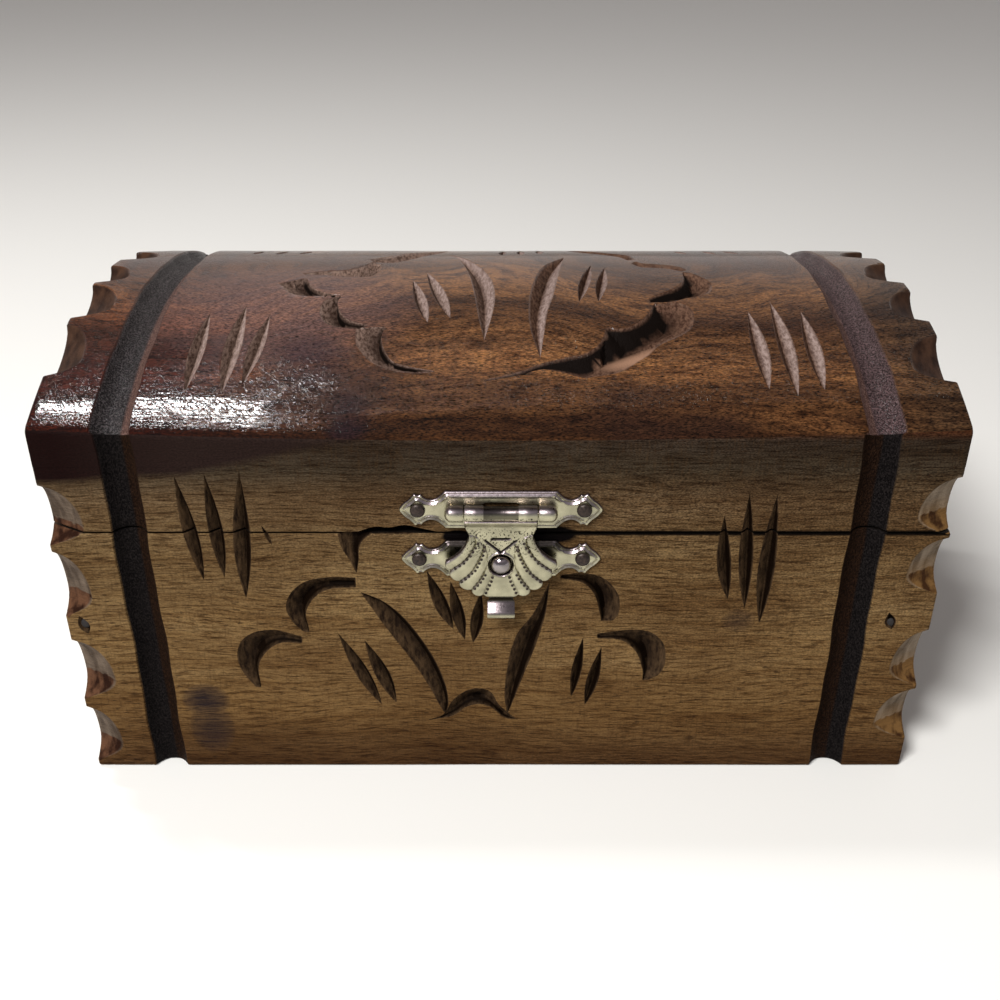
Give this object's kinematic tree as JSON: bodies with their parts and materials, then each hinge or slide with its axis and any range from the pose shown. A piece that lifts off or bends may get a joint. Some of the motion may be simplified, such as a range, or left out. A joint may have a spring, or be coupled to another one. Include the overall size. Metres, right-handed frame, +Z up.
{
  "type": "keepsake box",
  "caption": "Rectangular wooden keepsake box with an arched hinged lid, gouge-carved faces, strap grooves, scooped corners and a shell-shaped hasp over a stud.",
  "frame": {"origin": "centre of the bottom face, on the surface that the box stands on", "axes": "+X to the right along the box, +Y from the front face with the hasp to the back face with the hinges, +Z up"},
  "size_m": [0.178, 0.1117, 0.0945],
  "materials": {
    "box_wood": "stained and varnished wood, golden brown",
    "lid_wood": "stained wood under glossy varnish, red-brown",
    "inner_wood": "bare wood",
    "hasp_metal": "bright plated sheet metal, slightly warm",
    "hinge_metal": "bright plated sheet metal",
    "nail_iron": "dark nail heads"
  },
  "bodies": {
    "box": {"front_board": "box_wood", "back_board": "box_wood", "left_end_board": "box_wood", "right_end_board": "box_wood", "floor_board": "inner_wood", "front_board_nails": "nail_iron", "back_board_nails": "nail_iron", "hasp_catch_plate": "hasp_metal", "hasp_catch_stud": "hasp_metal", "hasp_catch_nails": "nail_iron", "left_hinge_box_leaf": "hinge_metal", "right_hinge_box_leaf": "hinge_metal", "left_hinge_box_nails": "hinge_metal", "right_hinge_box_nails": "hinge_metal"},
    "lid": {"lid_top": "lid_wood", "lid_front_rail": "lid_wood", "lid_back_rail": "lid_wood", "lid_left_end": "lid_wood", "lid_right_end": "lid_wood", "hasp_lid_plate": "hasp_metal", "hasp_lid_nails": "nail_iron", "hasp_pin": "hasp_metal", "left_hinge_lid_leaf": "hinge_metal", "right_hinge_lid_leaf": "hinge_metal", "left_hinge_lid_nails": "hinge_metal", "right_hinge_lid_nails": "hinge_metal", "left_hinge_pin": "hinge_metal", "right_hinge_pin": "hinge_metal"},
    "hasp_flap": {"hasp_flap": "hasp_metal"}
  },
  "joints": [
    {"name": "lid_hinge", "type": "hinge", "parent": "box", "child": "lid", "pos_m": [0, 0.0539, 0.0608], "axis": [-1, 0, 0], "range_deg": [0, 105]},
    {"name": "hasp_hinge", "type": "hinge", "parent": "lid", "child": "hasp_flap", "pos_m": [0.0004, -0.05395, 0.0664], "axis": [-1, 0, 0], "range_deg": [0, 150]}
  ]
}
